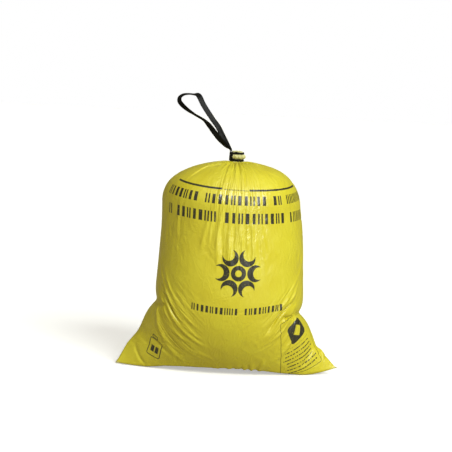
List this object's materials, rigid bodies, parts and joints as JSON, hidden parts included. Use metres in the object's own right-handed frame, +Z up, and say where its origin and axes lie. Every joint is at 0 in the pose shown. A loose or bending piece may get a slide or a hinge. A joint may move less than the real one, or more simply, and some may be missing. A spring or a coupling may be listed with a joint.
{
  "type": "drawtape waste bag",
  "caption": "Full film waste bag with flared bottom corners, standing on its base, its neck drawn shut by a flat tape that stands up as a loop.",
  "frame": {"origin": "on the floor, at the middle of the bag's outline seen from above", "axes": "+Z up through the neck, +X along the bottom seal from ear to ear, -Y towards the printed front"},
  "size_m": [0.4734, 0.3, 0.5798],
  "materials": {
    "yellow_film": "thin yellow polyethylene film, soft sheen, creased, printed in black",
    "black_tape": "flat black polyethylene tape with a low satin sheen"
  },
  "bodies": {
    "root": {"film_bag": "yellow_film", "drawtape_knot": "black_tape", "drawtape_loop": "black_tape"}
  },
  "joints": []
}
